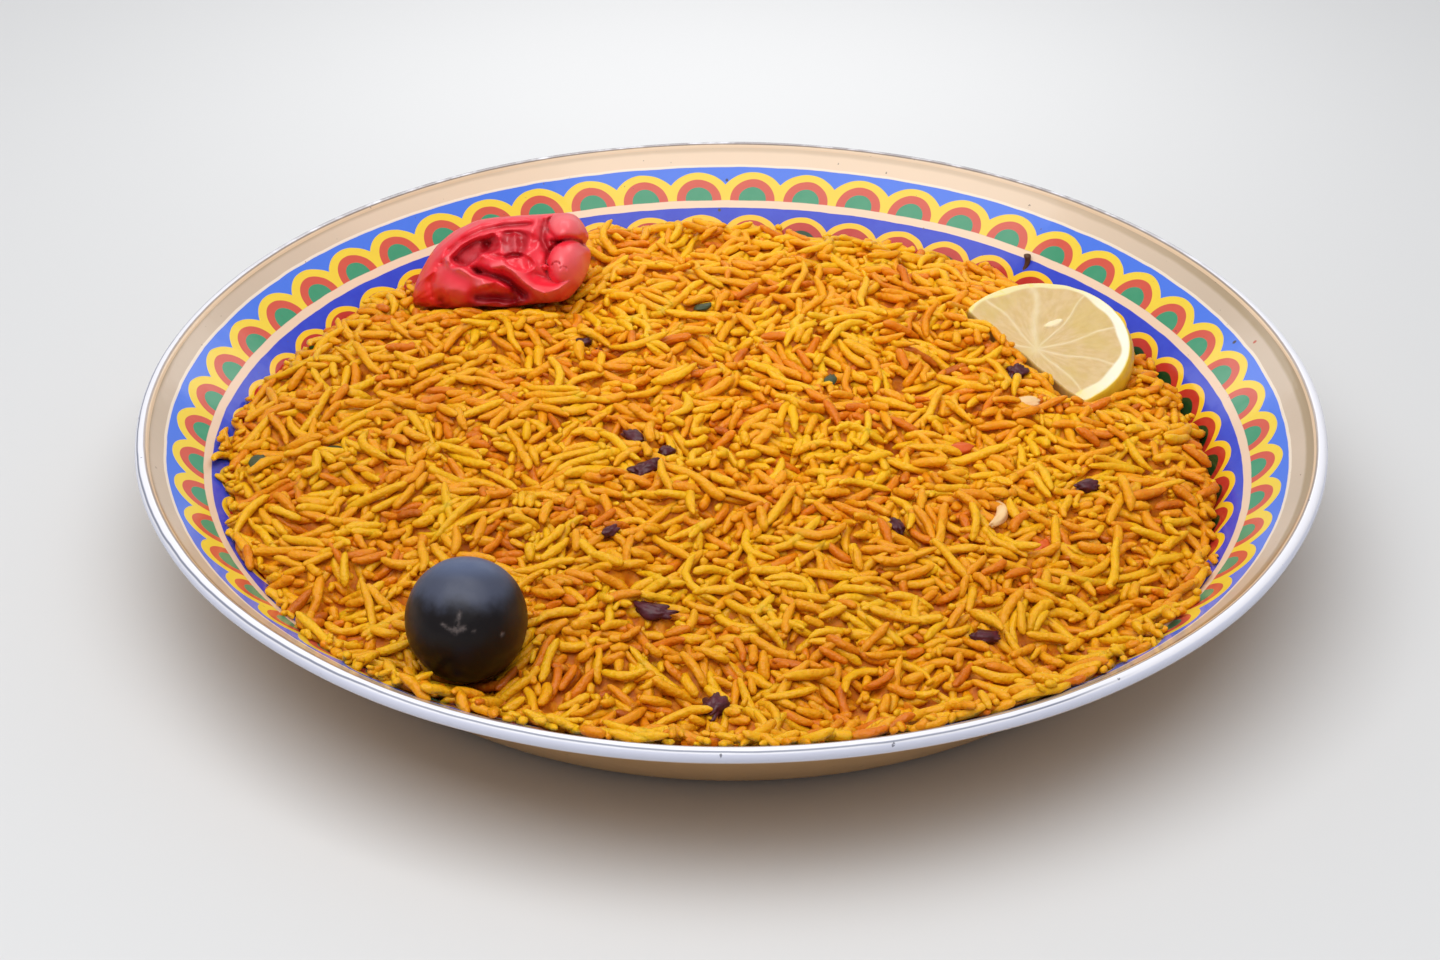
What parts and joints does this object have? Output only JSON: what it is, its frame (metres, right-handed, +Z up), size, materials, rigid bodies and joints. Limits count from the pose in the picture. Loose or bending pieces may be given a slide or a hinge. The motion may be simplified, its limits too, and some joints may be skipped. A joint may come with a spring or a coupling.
{
  "type": "plate of biryani rice",
  "caption": "Round enamelled plate heaped with long-grain biryani rice, with a red pepper, a lemon slice and a dried black lime on top.",
  "frame": {"origin": "middle of the plate's flat base, on the surface that it stands on", "axes": "+Z up; +Y to the far side with the pepper and the lemon; -Y to the near side with the black lime"},
  "size_m": [0.3192, 0.3198, 0.0577],
  "materials": {
    "enamel": "glossy cream enamel on steel with two bands of coloured scallops",
    "cooked_rice": "moist saffron-yellow to orange cooked rice",
    "pepper_skin": "glossy wilted red skin",
    "lemon": "wet pale pulp, white pith and yellow rind",
    "dried_lime": "smooth black skin with a soft sheen"
  },
  "bodies": {
    "root": {"plate": "enamel", "rice": "cooked_rice", "red_pepper": "pepper_skin", "lemon_slice": "lemon", "black_lime": "dried_lime"}
  },
  "joints": []
}
